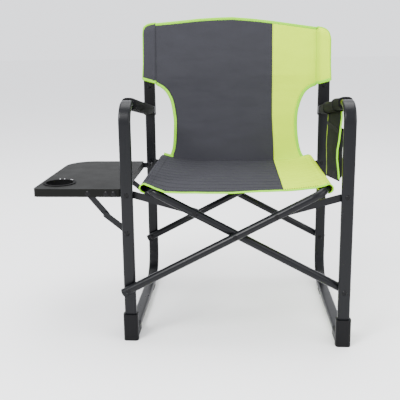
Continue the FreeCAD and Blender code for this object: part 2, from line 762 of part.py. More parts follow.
skirt_holes = doc.addObject("Part::MultiFuse", "skirt_holes")
tools = []
for spot, x, z in (("strut", "-strut_top_offset", "strut_top_height"),
                   ("near", f"-{HALF} - 38", "link_height"), ("far", f"-{HALF} - 58", "link_height")):
    tool = primitive("Part::Cylinder", f"skirt_hole_{spot}", Radius=HOLE, Height="table_back - table_front + 10")
    tools.append(along_y(tool, x, "table_front - 5", z))
for row in ROWS:
    slot = primitive("Part::Box", f"bracket_slot_{row}", Length="table_skin + 8", Width="strut_thickness + 1",
                     Height="table_skirt - table_skin - 0.8")
    tools.append(stand(slot, "-table_inner - table_skin - 7", f"{INSIDE[row]} - 0.5", "table_height - table_skirt - 1"))
skirt_holes.Shapes = tools
drilled_top = doc.addObject("Part::Cut", "table_tray")
drilled_top.Base = parts.pop("table_top")
drilled_top.Tool = skirt_holes
table_body.Label = "table_tray_blank"
keep(drilled_top, "table_top")

# The brackets' outer holes take the far rivet; the near one needs a hole too.
for row in ROWS:
    blank = parts.pop(f"table_bracket_{row}")
    blank.Label = f"table_bracket_blank_{row}"
    tool = primitive("Part::Cylinder", f"bracket_hole_{row}", Radius=HOLE, Height="strut_thickness + 4")
    along_y(tool, f"-{HALF} - 38", f"{INSIDE[row]} - 2", "link_height")
    drilled = doc.addObject("Part::Cut", f"table_bracket_drilled_{row}")
    drilled.Base = blank
    drilled.Tool = tool
    keep(drilled, f"table_bracket_{row}")

# The middle pivot's bush stays with the upper strut, short of the lower one.
bushes = []
for row in ROWS:
    if row == "front":
        start = "side_step + leg_deep / 2 + 0.6 + strut_thickness + 0.5"
        length = f"{INSIDE['front']} - ({start})"
        bushes += rivet(f"strut_bush_{row}", "-strut_middle_offset", "strut_middle_height",
                        f"{start} + 0.4", f"{INSIDE['front']} + strut_thickness", heads=(False, True), dome="1.5")
    else:
        start = f"{INSIDE['rear']} + strut_thickness"
        length = f"{OUTSIDE['rear']} - 0.5 - ({start})"
        bushes += rivet(f"strut_bush_{row}", "-strut_middle_offset", "strut_middle_height",
                        INSIDE["rear"], f"{OUTSIDE['rear']} - 1", heads=(True, False), dome="1.5")
    bushes.append(tube_ring(f"strut_spacer_{row}", "-strut_middle_offset", start, "strut_middle_height",
                            "6", "rivet_radius", length))
fuse("table_strut_bushes", bushes)

# The strut's foot rivets, which stay with the left frame.
feet = rivet("strut_foot_front", STRUT_FOOT["x"], STRUT_FOOT["z"], "side_step - leg_deep / 2",
             f"{OUTSIDE['front']} + strut_thickness - 0.8", heads=(True, False))
feet += rivet("strut_foot_rear", STRUT_FOOT["x"], STRUT_FOOT["z"], f"{OUTSIDE['rear']}",
              "frame_depth + side_step + leg_deep / 2", heads=(False, True))
fuse("left_strut_rivets", feet)

# Spacers between the left legs and the table's brackets and struts.
standoffs = [
    tube_ring("hinge_spacer_front", HINGE["x"], "side_step + leg_deep / 2 + 0.2", HINGE["z"], "7", HOLE,
              f"{INSIDE['front']} - side_step - leg_deep / 2 - 0.5"),
    tube_ring("hinge_spacer_rear", HINGE["x"], f"{INSIDE['rear']} + strut_thickness + 0.3", HINGE["z"], "7", HOLE,
              f"frame_depth + side_step - leg_deep / 2 - 0.2 - ({INSIDE['rear']} + strut_thickness + 0.3)"),
    tube_ring("strut_spacer_back", STRUT_FOOT["x"], f"{OUTSIDE['rear']} + strut_thickness + 0.3", STRUT_FOOT["z"],
              "7", HOLE, f"frame_depth + side_step - leg_deep / 2 - 0.5 - ({OUTSIDE['rear']} + strut_thickness)"),
]
fuse("table_standoffs", standoffs)


# ---------------------------------------------------------------- fabric

RAIL_HEIGHT = f"cross_height + rail_reach * tan({ANGLE})"


def sagging_strip(sketch, level, half, sag, thickness):
    """A strip that hangs between x = -half and +half: two arcs and two short ends."""
    depth = measure(sag)
    reach = measure(half)
    high = measure(level)
    low = high - measure(thickness)
    top = Part.Arc(Vector(-reach, high, 0), Vector(0, high - depth, 0), Vector(reach, high, 0))
    bottom = Part.Arc(Vector(-reach, low, 0), Vector(0, low - depth, 0), Vector(reach, low, 0))
    sketch.addGeometry([top, bottom])
    for x in (-reach, reach):
        sketch.addGeometry(Part.LineSegment(Vector(x, high, 0), Vector(x, low, 0)))
    for arc in (0, 1):
        for line in (2, 3):
            join(sketch, arc, line)
    dimension(sketch, thickness, "DistanceY", 2, 2, 2, 1)
    dimension(sketch, f"2 * ({half})", "DistanceX", 2, 1, 3, 1)


def seat_sling():
    """The seat: a sheet that sags between two sleeves on the rails."""
    body = new_body("seat_sling")
    profile = sketch_on(body, "XZ_Plane", "seat_profile")
    sagging_strip(profile, f"{RAIL_HEIGHT} + 12.3", "rail_reach - 8", "sling_sag", "sling_thickness")
    pad(body, profile, "seat_depth", backwards=True)
    for name, sign in (("a", 1), ("b", -1)):
        start = f"{-sign} * cross_step + cross_bend"
        sleeve = sketch_on(body, "XZ_Plane", f"seat_sleeve_{name}", f"-({start})")
        circle(sleeve, f"{sign} * rail_reach", RAIL_HEIGHT, "sleeve_radius")
        circle(sleeve, f"{sign} * rail_reach", RAIL_HEIGHT, "cross_radius + sleeve_gap")
        pad(body, sleeve, "frame_depth - 2 * cross_bend", backwards=True)
    return stand(body, "0", "0", "0")


def back_sling():
    """The upper back: a leaning sheet between two flat sleeves on the back tubes."""
    lean = -measure("back_lean")
    foot = "frame_depth + (back_foot - back_tube_corner) * tan(back_lean)"
    pieces = []
    panel = primitive("Part::Box", "back_panel", Length="leg_spacing - leg_wide + 5", Width="sling_thickness",
                      Height="back_tall")
    stand(panel, "-(leg_spacing - leg_wide + 5) / 2", f"{foot} - sling_thickness / 2", "back_foot", X_AXIS, lean)
    pieces.append(panel)
    for side, place in SIDES.items():
        sleeve = doc.addObject("PartDesign::Body", f"{side}_back_sleeve")
        ring = sketch_on(sleeve, "XY_Plane", f"{side}_sleeve_ring")
        rounded_box(ring, "leg_wide + 5.4", "leg_deep + 5.4", "leg_corner + 2.7")
        rounded_box(ring, "leg_wide + 2 * sleeve_gap", "leg_deep + 2 * sleeve_gap", "leg_corner + sleeve_gap")
        pad(sleeve, ring, "back_tall")
        stand(sleeve, place["x"], f"{foot} + {place['y']}", "back_foot", X_AXIS, lean)
        pieces.append(sleeve)
    return fuse("back_sling", pieces)


def back_waist():
    """The narrow part of the back, which curves down and forward to the seat."""
    body = new_body("back_waist")
    path = sketch_on(body, "YZ_Plane", "waist_path")
    top = "frame_depth"
    rounded_path(path, [(top, "back_foot - 1.5"), (f"{top} - 6", "590"), ("seat_depth + 5", "428")], ["400"])
    profile = sketch_on(body, "XY_Plane", "waist_section", "back_foot - 1.5")
    rounded_box(profile, "waist_wide", "sling_thickness", "1.4", "0", top)
    pipe(body, path, profile)
    return stand(body, "0", "0", "0")


def side_pouch():
    """The pouch under the right arm: a back panel and a pocket open at the top."""
    body = new_body("side_pouch")
    panel = sketch_on(body, "YZ_Plane", "pouch_panel")
    slope = "tan(arm_slope)"
    ridge = f"arm_corner_height - pad_tall / 2 - 2.5"
    outline = [("0", "0"), ("pouch_long", "0"),
               ("pouch_long", f"{ridge} - (pouch_start + pouch_long) * {slope} - pouch_foot"),
               ("0", f"{ridge} - pouch_start * {slope} - pouch_foot")]
    points = [Vector(measure(x), measure(y), 0) for x, y in outline]
    for number, point in enumerate(points):
        panel.addGeometry(Part.LineSegment(point, points[(number + 1) % 4]))
    for number in range(4):
        panel.addConstraint(Sketcher.Constraint("Coincident", number, 2, (number + 1) % 4, 1))
        fix_point(panel, number, 1, *outline[number])
    pad(body, panel, "3")
    pouch = sketch_on(body, "YZ_Plane", "pouch_pocket")
    tall = "pouch_mouth - pouch_foot"
    rounded_box(pouch, "pouch_long", tall, "18", "pouch_long / 2", f"({tall}) / 2")
    pad(body, pouch, "pouch_thickness")
    hollow = sketch_on(body, "XY_Plane", "pouch_hollow", "3")
    rounded_box(hollow, "pouch_thickness - 6", "pouch_long - 36", "4", "pouch_thickness / 2", "pouch_long / 2")
    pocket(body, hollow, "300", backwards=True)
    return stand(body, f"{HALF} - pouch_thickness / 2", "pouch_start - side_step", "pouch_foot")


seat_sling()
back_sling()
back_waist()
side_pouch()


# ---------------------------------------------------------------- finish

doc.recompute()
for item in doc.Objects:
    if "Invalid" in item.State or "Error" in item.State:
        raise RuntimeError(f"{item.Name} failed: {item.State}")
for label, item in parts.items():
    if item.Shape.isNull() or not item.Shape.isValid():
        raise RuntimeError(f"{label} has no valid shape")

os.makedirs("parts", exist_ok=True)
for old in os.listdir("parts"):
    os.remove(os.path.join("parts", old))
for label, item in parts.items():
    item.Shape.exportStep(os.path.join("parts", f"{label}.step"))

box = FreeCAD.BoundBox()
for item in parts.values():
    box.add(item.Shape.BoundBox)
print(len(parts), "sub-parts, box", [round(v, 1) for v in (box.XMin, box.XMax, box.YMin, box.YMax, box.ZMin, box.ZMax)])
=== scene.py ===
import json
import math

import bmesh
import bpy
import numpy as np
from mathutils import Matrix, Vector, noise


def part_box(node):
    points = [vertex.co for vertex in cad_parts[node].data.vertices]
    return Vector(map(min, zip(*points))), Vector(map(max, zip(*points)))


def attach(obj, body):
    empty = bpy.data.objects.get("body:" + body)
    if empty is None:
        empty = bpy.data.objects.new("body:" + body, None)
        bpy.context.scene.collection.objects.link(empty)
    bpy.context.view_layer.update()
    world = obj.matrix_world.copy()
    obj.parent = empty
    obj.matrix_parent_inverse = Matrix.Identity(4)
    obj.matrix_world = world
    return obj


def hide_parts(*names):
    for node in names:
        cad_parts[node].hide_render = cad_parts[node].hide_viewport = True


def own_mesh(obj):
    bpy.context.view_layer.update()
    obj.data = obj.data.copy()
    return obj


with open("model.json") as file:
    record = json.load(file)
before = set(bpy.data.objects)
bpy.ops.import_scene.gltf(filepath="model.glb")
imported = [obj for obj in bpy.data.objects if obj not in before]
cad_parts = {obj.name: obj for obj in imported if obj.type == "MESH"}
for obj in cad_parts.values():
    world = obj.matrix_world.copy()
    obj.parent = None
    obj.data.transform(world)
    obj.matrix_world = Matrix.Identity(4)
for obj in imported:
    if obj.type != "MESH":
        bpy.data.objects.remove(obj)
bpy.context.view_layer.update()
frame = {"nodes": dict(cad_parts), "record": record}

# The chair's own frame, in millimetres: x = 0 midway between the side frames,
# y = 0 midway between the two crossing tubes at the front, z = 0 the floor.
left_low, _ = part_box("left_front_leg")
_, right_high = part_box("right_front_leg")
MIDDLE_X = (left_low.x + right_high.x) / 2
FRONT_Y = left_low.y - 0.001
LEG = 285.0           # the legs' middle planes, left and right
RAIL = 237.0          # the seat rails, left and right
RAIL_Z = 424.7
RAIL_TOP = 12.9       # cloth above the rail's middle line
DEPTH = 490.0         # the rear posts
STEP = 9.0            # the left frame stands this far back, the right frame this far forward
CHANNEL_START, CHANNEL_PITCH = 44.0, 36.0    # the lines sewn across the seat


def place(x, y, z):
    return Vector((x / 1000 + MIDDLE_X, y / 1000 + FRONT_Y, z / 1000))


# ------------------------------------------------------------------ camera

position = place(1.2, -1568.8, 781.3)
yaw, pitch, roll = (math.radians(a) for a in (-3.376, 11.386, -0.663))
ahead = Vector((math.sin(yaw) * math.cos(pitch), math.cos(yaw) * math.cos(pitch), -math.sin(pitch)))
level = Vector((math.cos(yaw), -math.sin(yaw), 0))
above = level.cross(ahead)
right = level * math.cos(roll) + above * math.sin(roll)
up = -level * math.sin(roll) + above * math.cos(roll)
lens = bpy.data.cameras.new("camera")
camera = bpy.data.objects.new("camera", lens)
bpy.context.scene.collection.objects.link(camera)
camera.matrix_world = Matrix((
    (right.x, up.x, -ahead.x, position.x),
    (right.y, up.y, -ahead.y, position.y),
    (right.z, up.z, -ahead.z, position.z),
    (0, 0, 0, 1),
))
lens.sensor_width = 36
lens.lens = 56.02
lens.shift_y = -0.0654
lens.clip_end = 50
bpy.context.scene.camera = camera


# ------------------------------------------------------------------ materials

def new_material(name, color, roughness, metallic=0.0, specular=0.5, spread=0.12, speckle=40.0):
    """A Principled material whose colour and roughness vary a little over the surface."""
    material = bpy.data.materials.new(name)
    material.use_nodes = True
    nodes = material.node_tree.nodes
    links = material.node_tree.links
    shader = nodes["Principled BSDF"]
    shader.inputs["Metallic"].default_value = metallic
    shader.inputs["Specular IOR Level"].default_value = specular
    where = nodes.new("ShaderNodeTexCoord")
    cloud = nodes.new("ShaderNodeTexNoise")
    cloud.inputs["Scale"].default_value = speckle
    cloud.inputs["Detail"].default_value = 5
    links.new(where.outputs["Object"], cloud.inputs["Vector"])
    tint = nodes.new("ShaderNodeMix")
    tint.data_type = "RGBA"
    tint.inputs[6].default_value = [c * (1 - spread) for c in color] + [1]
    tint.inputs[7].default_value = [min(1, c * (1 + spread)) for c in color] + [1]
    links.new(cloud.outputs["Fac"], tint.inputs[0])
    links.new(tint.outputs[2], shader.inputs["Base Color"])
    rough = nodes.new("ShaderNodeMapRange")
    rough.inputs["To Min"].default_value = roughness - 0.08
    rough.inputs["To Max"].default_value = roughness + 0.08
    links.new(cloud.outputs["Fac"], rough.inputs["Value"])
    links.new(rough.outputs["Result"], shader.inputs["Roughness"])
    return material, shader, where


def add_grain(made, scale, strength, distance):
    """A fine bump, as on powder coat, foam or moulded plastic."""
    material, shader, where = made
    nodes = material.node_tree.nodes
    links = material.node_tree.links
    grain = nodes.new("ShaderNodeTexNoise")
    grain.inputs["Scale"].default_value = scale
    grain.inputs["Detail"].default_value = 3
    links.new(where.outputs["Object"], grain.inputs["Vector"])
    bump = nodes.new("ShaderNodeBump")
    bump.inputs["Strength"].default_value = strength
    bump.inputs["Distance"].default_value = distance
    links.new(grain.outputs["Fac"], bump.inputs["Height"])
    links.new(bump.outputs["Normal"], shader.inputs["Normal"])
    return material


def add_weave(made, pitch, strength, flat_axes=("X", "Z")):
    """Crossing threads: two bands of waves at right angles, with a little slub."""
    material, shader, where = made
    nodes = material.node_tree.nodes
    links = material.node_tree.links
    threads = []
    for axis in flat_axes:
        wave = nodes.new("ShaderNodeTexWave")
        wave.wave_type = "BANDS"
        wave.bands_direction = axis
        wave.inputs["Scale"].default_value = 0.314 / pitch
        wave.inputs["Distortion"].default_value = 0.6
        wave.inputs["Detail"].default_value = 2
        wave.inputs["Detail Scale"].default_value = 1.5
        links.new(where.outputs["Object"], wave.inputs["Vector"])
        threads.append(wave)
    crossed = nodes.new("ShaderNodeMath")
    crossed.operation = "MULTIPLY"
    links.new(threads[0].outputs["Fac"], crossed.inputs[0])
    links.new(threads[1].outputs["Fac"], crossed.inputs[1])
    slub = nodes.new("ShaderNodeTexNoise")
    slub.inputs["Scale"].default_value = 260
    links.new(where.outputs["Object"], slub.inputs["Vector"])
    height = nodes.new("ShaderNodeMath")
    height.operation = "ADD"
    links.new(crossed.outputs[0], height.inputs[0])
    links.new(slub.outputs["Fac"], height.inputs[1])
    bump = nodes.new("ShaderNodeBump")
    bump.inputs["Strength"].default_value = strength
    bump.inputs["Distance"].default_value = 0.0006
    links.new(height.outputs[0], bump.inputs["Height"])
    links.new(bump.outputs["Normal"], shader.inputs["Normal"])
    return material


def add_channel_groove_shade(material, first, pitch, shade):
    """Painted shade: darker bands along the sewn channel grooves across the seat, one every pitch metres
    from the first.
    """
    nodes = material.node_tree.nodes
    links = material.node_tree.links
    where = nodes.new("ShaderNodeTexCoord")
    split = nodes.new("ShaderNodeSeparateXYZ")
    links.new(where.outputs["Object"], split.inputs[0])
    feed = split.outputs["Y"]
    sawtooth = (("SUBTRACT", first), ("DIVIDE", pitch), ("FRACT", 0), ("SUBTRACT", 0.5), ("ABSOLUTE", 0))
    for operation, value in sawtooth:
        step = nodes.new("ShaderNodeMath")
        step.operation = operation
        step.inputs[1].default_value = value
        links.new(feed, step.inputs[0])
        feed = step.outputs[0]
    # mask of the painted groove shade: full on each channel line, none between
    edge = nodes.new("ShaderNodeMapRange")
    edge.inputs["From Min"].default_value = 0.42
    edge.inputs["From Max"].default_value = 0.49
    edge.inputs["To Max"].default_value = shade
    links.new(feed, edge.inputs["Value"])
    groove_shade = nodes.new("ShaderNodeMix")
    groove_shade.data_type = "RGBA"
    groove_shade.blend_type = "MULTIPLY"
    groove_shade.inputs[7].default_value = (0, 0, 0, 1)
    shader = nodes["Principled BSDF"]
    plain = shader.inputs["Base Color"].links[0].from_socket
    links.new(edge.outputs["Result"], groove_shade.inputs[0])
    links.new(plain, groove_shade.inputs[6])
    links.new(groove_shade.outputs[2], shader.inputs["Base Color"])


WEAVE = 0.0022        # metres from thread to thread
GREY = dict(color=(0.03, 0.03, 0.0355), roughness=0.9, specular=0.1, speckle=18)
LIME = dict(color=(0.5, 0.72, 0.0), roughness=0.95, specular=0.03, speckle=14, spread=0.05)

paint = add_grain(new_material(
    "powder_coat", (0.0035, 0.0038, 0.0048), 0.3, specular=0.17), 1400, 0.12, 0.0002)
black_rivet = add_grain(new_material(
    "rivet_black", (0.002, 0.002, 0.0025), 0.3, specular=0.14), 500, 0.1, 0.0002)
plastic = add_grain(new_material(
    "moulded_plastic", (0.003, 0.003, 0.0035), 0.5, specular=0.12), 900, 0.2, 0.0003)
foam = add_grain(new_material(
    "arm_foam", (0.004, 0.004, 0.0045), 0.85, specular=0.08, speckle=60), 700, 0.5, 0.0006)
tray = add_grain(new_material(
    "tray_plastic", (0.007, 0.0072, 0.0066), 0.5, specular=0.04, speckle=20), 1100, 0.3, 0.0003)
grey = add_weave(new_material("grey_weave", **GREY), WEAVE, 0.35)
grey_seat = add_weave(new_material("grey_weave_seat", **GREY), WEAVE, 0.35, ("X", "Y"))
lime = add_weave(new_material("lime_weave", **LIME), WEAVE, 0.3)
lime_seat = add_weave(new_material("lime_weave_seat", **LIME), WEAVE, 0.3, ("X", "Y"))
binding = add_weave(new_material(
    "lime_binding", (0.24, 0.6, 0.01), 0.85, specular=0.05, speckle=30, spread=0.08), 0.0012, 0.4)
black_weave = add_weave(new_material(
    "black_weave", (0.008, 0.009, 0.008), 0.9, specular=0.08, speckle=24), 0.0016, 0.4, ("Y", "Z"))
webbing = add_weave(new_material(
    "webbing", (0.009, 0.009, 0.01), 0.85, specular=0.1), 0.0014, 0.5, ("Y", "Z"))
thread = add_grain(new_material(
    "thread", (0.02, 0.02, 0.023), 0.85, specular=0.1), 2000, 0.2, 0.0002)
lime_thread = add_grain(new_material(
    "lime_thread", (0.4, 0.6, 0.02), 0.85, specular=0.1), 2000, 0.2, 0.0002)
# painted shade in the seat's channel grooves, stronger on the grey cloth than on the lime
add_channel_groove_shade(grey_seat, FRONT_Y + CHANNEL_START / 1000, CHANNEL_PITCH / 1000, 0.55)
add_channel_groove_shade(lime_seat, FRONT_Y + CHANNEL_START / 1000, CHANNEL_PITCH / 1000, 0.22)
# painted shade: the cup ring's plastic is darker than the other black plastic so the inside of the cup hole
# reads as black shade
ring_painted_shade_black = add_grain(new_material(
    "ring_plastic_painted_shade", (0.0012, 0.0012, 0.0013), 0.6, specular=0.05), 900, 0.2, 0.0003)
pin_steel = add_grain(new_material(
    "pin_steel", (0.5, 0.5, 0.5), 0.3, metallic=1.0), 500, 0.1, 0.0002)
ground = add_grain(new_material(
    "studio_floor", (0.95, 0.95, 0.95), 0.9, specular=0.0, spread=0.01, speckle=2), 60, 0.04, 0.001)

SLOT_LOOKS = {
    "frame_paint": paint,
    "rivet": black_rivet,
    "black_plastic": plastic,
    "pad_foam": foam,
    "table_plastic": tray,
    "grey_fabric": grey,
    "black_fabric": black_weave,
}
slot_of = {s["node"]: s["material_slot"] for s in frame["record"]["subparts"]}
for name, node in frame["nodes"].items():
    # the cup ring takes the darker plastic that paints shade into its hole
    look = ring_painted_shade_black if name == "cup_ring" else SLOT_LOOKS[slot_of[name]]
    if not node.data.materials:
        node.data.materials.append(look)
    for number in range(len(node.data.materials)):
        node.data.materials[number] = look


# ------------------------------------------------------------------ mesh helpers

def make_piece(name, verts, faces, look, body, smooth=True):
    """A mesh in metres from points in the chair's millimetres."""
    mesh = bpy.data.meshes.new(name)
    mesh.from_pydata([place(*v) for v in verts], [], faces)
    work = bmesh.new()
    work.from_mesh(mesh)
    bmesh.ops.recalc_face_normals(work, faces=work.faces)
    work.to_mesh(mesh)
    work.free()
    mesh.materials.append(look)
    for face in mesh.polygons:
        face.use_smooth = smooth
    piece = bpy.data.objects.new(name, mesh)
    bpy.context.scene.collection.objects.link(piece)
    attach(piece, body)
    return piece


def grid(name, rows, look, body, thickness=1.6, close=False):
    """A sheet from rows of points, given its thickness both ways from its middle."""
    count = len(rows[0])
    verts = [p for row in rows for p in row]
    faces = []
    for r in range(len(rows) - 1):
        for c in range(count if close else count - 1):
            after = (c + 1) % count
            faces.append((r * count + c, r * count + after, (r + 1) * count + after, (r + 1) * count + c))
    piece = make_piece(name, verts, faces, look, body)
    wall = piece.modifiers.new("thickness", "SOLIDIFY")
    wall.thickness = thickness / 1000
    wall.offset = 0
    return piece


def bulge(value, power):
    """A cosine or sine made squarer, for a section between an ellipse and a box."""
    return math.copysign(abs(value) ** power, value)


def sweep(name, path, sides, normals, half_wide, half_thick, look, body, close=False, points=10):
    """A strip with a rounded section along a path, flat across its normals."""
    verts = []
    for at, side, normal in zip(path, sides, normals):
        for step in range(points):
            angle = 2 * math.pi * step / points
            across = bulge(math.cos(angle), 0.6) * half_wide
            deep = bulge(math.sin(angle), 0.8) * half_thick
            verts.append(Vector(at) + Vector(side) * across + Vector(normal) * deep)
    faces = []
    rings = len(path)
    for r in range(rings if close else rings - 1):
        after = (r + 1) % rings
        for c in range(points):
            d = (c + 1) % points
            faces.append((r * points + c, r * points + d, after * points + d, after * points + c))
    if not close:
        faces.append(tuple(range(points)))
        faces.append(tuple((rings - 1) * points + c for c in range(points)))
    return make_piece(name, verts, faces, look, body)


def frame_along(path, normals, close=False):
    """Unit side vectors of a path whose surface normals are known."""
    sides = []
    clean = []
    total = len(path)
    for i in range(total):
        before = Vector(path[(i - 1) % total if close else max(i - 1, 0)])
        after = Vector(path[(i + 1) % total if close else min(i + 1, total - 1)])
        run = (after - before).normalized()
        side = run.cross(Vector(normals[i])).normalized()
        sides.append(side)
        clean.append(side.cross(run).normalized())
    return sides, clean


def distances(path):
    """How far along a path each of its points is."""
    gaps = [0.0]
    for p, q in zip(path, path[1:]):
        gaps.append(gaps[-1] + (Vector(q) - Vector(p)).length)
    return gaps


def resample(points, count):
    """Evenly spaced points on a smooth curve through the given ones."""
    points = [Vector(p) for p in points]
    padded = [points[0] * 2 - points[1]] + points + [points[-1] * 2 - points[-2]]
    fine = []
    for i in range(1, len(padded) - 2):
        a, b, c, d = padded[i - 1:i + 3]
        for k in range(12):
            t = k / 12
            fine.append(0.5 * (2 * b + (c - a) * t + (2 * a - 5 * b + 4 * c - d) * t * t
                               + (3 * b - 3 * c + d - a) * t ** 3))
    fine.append(points[-1])
    gaps = distances(fine)
    wanted = np.linspace(0, gaps[-1], count)
    return [Vector([float(np.interp(w, gaps, [p[axis] for p in fine])) for axis in range(3)])
            for w in wanted]


def stitches(name, path, normals, look, body, pitch=6.0, length=3.8, rise=0.9):
    """Short raised threads along a sewn line."""
    verts = []
    faces = []
    gaps = distances(path)

    def at(distance, items):
        return Vector([float(np.interp(distance, gaps, [p[axis] for p in items])) for axis in range(3)])

    for start in np.arange(1.0, gaps[-1] - length, pitch):
        a = at(start, path)
        b = at(start + length, path)
        normal = at(start, normals).normalized()
        run = (b - a).normalized()
        side = run.cross(normal) * 0.55
        high = normal * rise
        middle = (a + b) / 2
        base = len(verts)
        for spot, lift in ((a, 0.2), (middle, 1.0), (b, 0.2)):
            verts += [spot - side, spot + high * lift, spot + side, spot - high * 0.3]
        for ring in (0, 4):
            for c in range(4):
                d = (c + 1) % 4
                faces.append((base + ring + c, base + ring + d, base + ring + 4 + d, base + ring + 4 + c))
        faces.append((base, base + 1, base + 2, base + 3))
        faces.append((base + 8, base + 9, base + 10, base + 11))
    return make_piece(name, verts, faces, look, body, smooth=False)


def ripple(x, y, z, size=1.0):
    """A soft, repeatable unevenness in millimetres."""
    coarse = size * noise.noise(Vector((x / 90, y / 60, z / 34)))
    fine = 0.4 * size * noise.noise(Vector((x / 31, y / 24, z / 15)))
    return coarse + fine


SEAT_SQUASH = dict(axis=(1, 0, 0), anchor=place(RAIL, 0, RAIL_Z), keep=0.235)
INNER = 262.0
BACK_SQUASH = dict(axis=(1, 0, 0), anchor=place(-INNER, 0, RAIL_Z), keep=0.343)
SEAM_X = 124.5


# ------------------------------------------------------------------ seat

def seat_drop(x, y):
    """How far the seat hangs below the tops of the rails."""
    share = min(1.0, abs(x) / RAIL)
    middle = 18.5 * (1 - share ** 4)
    front = float(np.interp(x, [-237, -222, -205, -183, -140, 0, 118, 165, 205, 225, 237],
                            [0, 6, 14, 23, 24.5, 23.5, 17, 14.5, 10, 5, 0]))
    near = max(0.0, 1 - max(y, 0) / 150)
    return middle + (front - middle) * near * near


def seat_point(x, y):
    lines = (y - CHANNEL_START) / CHANNEL_PITCH
    off_line = (lines - round(lines)) * CHANNEL_PITCH
    channel = 1.7 * math.exp(-(off_line / 2.2) ** 2) if 40 < y < 440 else 0.0
    fade = 1 - (abs(x) / RAIL) ** 8
    return Vector((x, y, RAIL_Z + RAIL_TOP - seat_drop(x, y) + fade * (ripple(x, y, 0, 1.3) - channel)))


SEAT_FRONT = -1.0
SEAT_BACK = 453.0
FLAP = 222.0


def seat_rows(low, high, count):
    ys = list(np.arange(SEAT_FRONT, SEAT_BACK, 2.6)) + [SEAT_BACK]
    return [[seat_point(float(x), float(y)) for x in np.linspace(low, high, count)] for y in ys]


seat_grey = grid("seat_cloth_grey", seat_rows(-RAIL, SEAM_X, 70), grey_seat, "seat")
seat_lime = grid("seat_cloth_lime", seat_rows(SEAM_X, RAIL, 26), lime_seat, "seat")
for piece, slot in ((seat_grey, "grey_fabric"), (seat_lime, "lime_fabric")):
    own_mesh(piece)
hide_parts("seat_sling")


def seat_edge(y, low, high, count, inset):
    return [seat_point(float(x), y + inset) for x in np.linspace(low, high, count)]


def bound_line(name, path, normal, body, squash=None, wide=5.0, thick=2.0,
               look=binding, shift=0.0):
    """A strip along a path on a surface that faces one way, moved sideways by shift."""
    sides, clean = frame_along(path, [normal] * len(path))
    centre = [p + s * shift for p, s in zip(path, sides)]
    piece = sweep(name, centre, sides, clean, wide, thick, look, body)
    if squash:
        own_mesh(piece)


def sew(name, path, normal, look, body, squash=None):
    """Stitches along a path on a surface that faces one way."""
    piece = stitches(name, path, [normal] * len(path), look, body)
    if squash:
        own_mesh(piece)


front = seat_edge(SEAT_FRONT, -RAIL, RAIL, 90, 4.0)
bound_line("seat_binding_front", front, (0, 0, 1), "seat", SEAT_SQUASH)
for name, low, high in (("left", -RAIL, -206), ("right", 222, RAIL)):
    # The left end curls up behind the cloth, the right one lies flat.
    nudge, up = ((0, 1, 3.2), (0, -1, 0.35)) if name == "left" else ((0, -3, 0), (0, 0, 1))
    rear = [p + Vector(nudge) for p in seat_edge(SEAT_BACK, low, high, 12, 0.0)]
    bound_line(f"seat_binding_rear_{name}", rear, up, "seat", SEAT_SQUASH)

seam = [seat_point(SEAM_X + 3.0, float(y)) + Vector((0, 0, 0.8)) for y in np.linspace(8, 448, 120)]
sew("seat_seam_stitches", seam, (0, 0, 1), lime_thread, "seat", SEAT_SQUASH)
flaps = ((-FLAP, thread, "grey_fabric"), (FLAP, lime_thread, "lime_fabric"))
for number, (x, look, slot) in enumerate(flaps):
    line = [seat_point(x, float(y)) + Vector((0, 0, 0.8)) for y in np.linspace(14, 440, 120)]
    sew(f"seat_sleeve_stitches_{number}", line, (0, 0, 1), look, "seat", SEAT_SQUASH)
for number, y in enumerate((13.0, 17.0)):
    line = [seat_point(float(x), y) + Vector((0, 0, 0.8)) for x in np.linspace(-214, 214, 150)]
    sew(f"seat_front_stitches_{number}", line, (0, 0, 1), thread, "seat", SEAT_SQUASH)


TURNS = 22            # points round a rail


def rail_sleeve(name, sign, look, body):
    """The cloth round a seat rail: from the seam on top, round the outside, to the seam below."""
    rows = []
    for y in np.arange(SEAT_FRONT, SEAT_BACK + 1, 4.0):
        row = []
        for angle in np.linspace(90, 262, TURNS):
            turn = math.radians(angle)
            radius = 13.1 + 0.3 * ripple(angle, float(y), 7)
            tuck = max(0.0, 1 - (y - SEAT_FRONT) / 26) * max(0.0, -math.sin(turn)) * 12
            across = sign * (RAIL - radius * math.cos(turn))
            row.append(Vector((across, float(y) + tuck, RAIL_Z + radius * math.sin(turn))))
        low = Vector((sign * (RAIL - 30), float(y), RAIL_Z + RAIL_TOP - seat_drop(RAIL - 30, 200) - 3.2))
        tail = row[-1]
        for share in (0.35, 0.7, 1.0):
            row.append(tail.lerp(low, share))
        rows.append(row)
    piece = grid(name, rows, look, body, 1.4)
    lip = rows[1][:TURNS]
    out = [Vector((sign * -math.cos(math.radians(a)), 0, math.sin(math.radians(a))))
           for a in np.linspace(90, 262, TURNS)]
    sides, clean = frame_along(lip, out)
    made = sweep(f"{name}_binding", lip, sides, clean, 4.6, 1.7, binding, body)


rail_sleeve("seat_sleeve_left", -1, grey_seat, "cross_b")
rail_sleeve("seat_sleeve_right", 1, lime_seat, "cross_a")


# ------------------------------------------------------------------ back

LEAN = math.tan(math.radians(7))
LEAN_Z = 692.0


def back_depth(x, z):
    """Where the back's cloth is, front to back."""
    if z >= LEAN_Z:
        y = DEPTH + (z - LEAN_Z) * LEAN
    else:
        y = float(np.interp(z, [415, 428, 480, 540, 590, 640, LEAN_Z],
                            [450.5, 453, 464, 475.5, 483.5, 488.5, DEPTH]))
    belly = 5.0 * (1 - min(1.0, abs(x) / 262) ** 2) * min(1.0, max(0.0, (z - 440) / 120))
    return y + belly + ripple(x, 0, z, 1.2) * min(1.0, max(0.0, (z - 425) / 60))


def back_top(x):
    xs = [-304, -301, -297, -290, -280, -214, -116, -60, -12, 50, 116, 208, 262, 278, 290, 298, 303]
    zs = [836, 846, 853, 858, 861.5, 867, 876, 878.5, 879.3, 874, 866, 852, 844, 841, 836, 827, 812]
    return float(np.interp(x, xs, zs))


